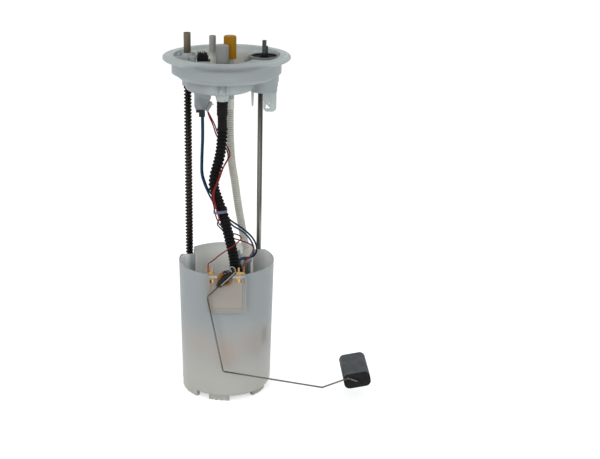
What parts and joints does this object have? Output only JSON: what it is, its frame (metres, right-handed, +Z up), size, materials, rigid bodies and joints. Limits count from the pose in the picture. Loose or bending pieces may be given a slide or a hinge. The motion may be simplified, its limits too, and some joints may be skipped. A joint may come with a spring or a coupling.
{
  "type": "fuel pump module",
  "caption": "In-tank fuel pump module: ported flange on two guide rods above a spring-loaded translucent reservoir with pump, hoses, leads and float-arm level sender.",
  "frame": {"origin": "centre of the flange's seating plane, on the collar's axis", "axes": "+Z up out of the tank, -Y towards the viewer of the picture, +X towards the float"},
  "size_m": [0.2529, 0.15, 0.4485],
  "materials": {
    "white_moulding": "satin white acetal moulding, slightly translucent",
    "black_plastic": "matt black moulding",
    "contact_metal": "bright stamped contact metal",
    "tube_steel": "coated steel tube, brownish grey",
    "grey_plastic": "light grey moulding",
    "cap_grey": "soft translucent grey transit cap",
    "cap_amber": "amber transit cap",
    "beige_plastic": "beige nylon",
    "rod_steel": "ground steel",
    "spring_steel": "dark phosphated spring wire",
    "hose_black": "black corrugated hose",
    "lead_blue": "blue lead insulation",
    "lead_red": "dark red lead insulation",
    "tie_plastic": "clear nylon tie",
    "reservoir_plastic": "frosted translucent white moulding",
    "rubber_black": "black rubber",
    "can_steel": "zinc plated steel can",
    "motor_iron": "dark iron and ferrite",
    "copper_winding": "copper winding and segments",
    "holder_plastic": "pinkish natural moulding",
    "card_ceramic": "pale ceramic card",
    "rotor_plastic": "orange moulding",
    "float_foam": "dark grey closed-cell rubber",
    "strainer_mesh": "fine woven nylon sock"
  },
  "bodies": {
    "flange_body": {"flange": "white_moulding", "connector_insert": "black_plastic", "connector_pins": "contact_metal", "line_tube": "tube_steel", "return_nipple": "grey_plastic", "supply_port": "grey_plastic", "supply_port_cap": "cap_grey", "return_port": "beige_plastic", "return_port_cap": "cap_amber", "valve_disc": "black_plastic", "vent_stem": "grey_plastic", "vent_clip": "black_plastic", "rollover_spring": "rod_steel", "guide_rod_left": "rod_steel", "guide_rod_right": "rod_steel", "rod_clips": "spring_steel", "pump_plug": "black_plastic", "sender_plug": "white_moulding", "sender_plug_clip": "contact_metal", "slide_spring": "spring_steel", "supply_hose": "hose_black", "return_hose": "beige_plastic", "lead_blue": "lead_blue", "lead_black": "hose_black", "lead_red_left": "lead_red", "lead_red_right": "lead_red", "cable_tie": "tie_plastic"},
    "rollover_float_body": {"rollover_float": "white_moulding"},
    "reservoir_body": {"reservoir": "reservoir_plastic", "umbrella_valve": "rubber_black", "pump_holder": "holder_plastic", "isolator": "rubber_black", "pump_can": "can_steel", "pump_outlet_cap": "black_plastic", "pump_casing": "motor_iron", "pump_inlet_cover": "black_plastic", "magnets": "motor_iron", "brushes": "motor_iron", "strainer": "strainer_mesh", "jet_pump": "black_plastic", "pump_terminal_plug": "black_plastic", "return_fitting": "white_moulding", "relief_valve": "grey_plastic", "sender_frame": "holder_plastic", "resistor_card": "card_ceramic", "sender_terminals": "contact_metal", "lead_crimps": "lead_red"},
    "check_valve_body": {"check_valve": "rotor_plastic"},
    "pump_rotor": {"armature": "copper_winding", "commutator": "copper_winding", "motor_shaft": "rod_steel", "impeller": "black_plastic"},
    "float_arm_body": {"sender_rotor": "rotor_plastic", "rotor_wiper": "contact_metal", "arm_holder": "black_plastic", "float_arm": "rod_steel", "float_retainer": "rod_steel"},
    "float_body": {"float": "float_foam"}
  },
  "joints": [
    {"name": "reservoir_slide", "type": "slide", "parent": "flange_body", "child": "reservoir_body", "axis": [0, 0, 1], "range_m": [0, 0.06], "stiffness_N_per_m": 250, "springref_m": -0.06, "deforming": ["slide_spring", "supply_hose", "return_hose", "lead_blue", "lead_black", "lead_red_left", "lead_red_right", "cable_tie"]},
    {"name": "rollover_lift", "type": "slide", "parent": "flange_body", "child": "rollover_float_body", "axis": [0, 0, 1], "range_m": [0, 0.004], "deforming": ["rollover_spring"]},
    {"name": "check_valve_lift", "type": "slide", "parent": "reservoir_body", "child": "check_valve_body", "axis": [0, 0, 1], "range_m": [0, 0.002]},
    {"name": "pump_spin", "type": "hinge", "parent": "reservoir_body", "child": "pump_rotor", "pos_m": [0.008, -0.018, -0.3], "axis": [0, 0, 1], "continuous": true},
    {"name": "float_arm_swing", "type": "hinge", "parent": "reservoir_body", "child": "float_arm_body", "pos_m": [-0.0022, -0.067, -0.2514], "axis": [0, -1, 0], "range_deg": [0, 80]},
    {"name": "float_spin", "type": "hinge", "parent": "float_arm_body", "child": "float_body", "pos_m": [0.161, -0.038, -0.3861], "axis": [0, 1, 0], "continuous": true}
  ]
}
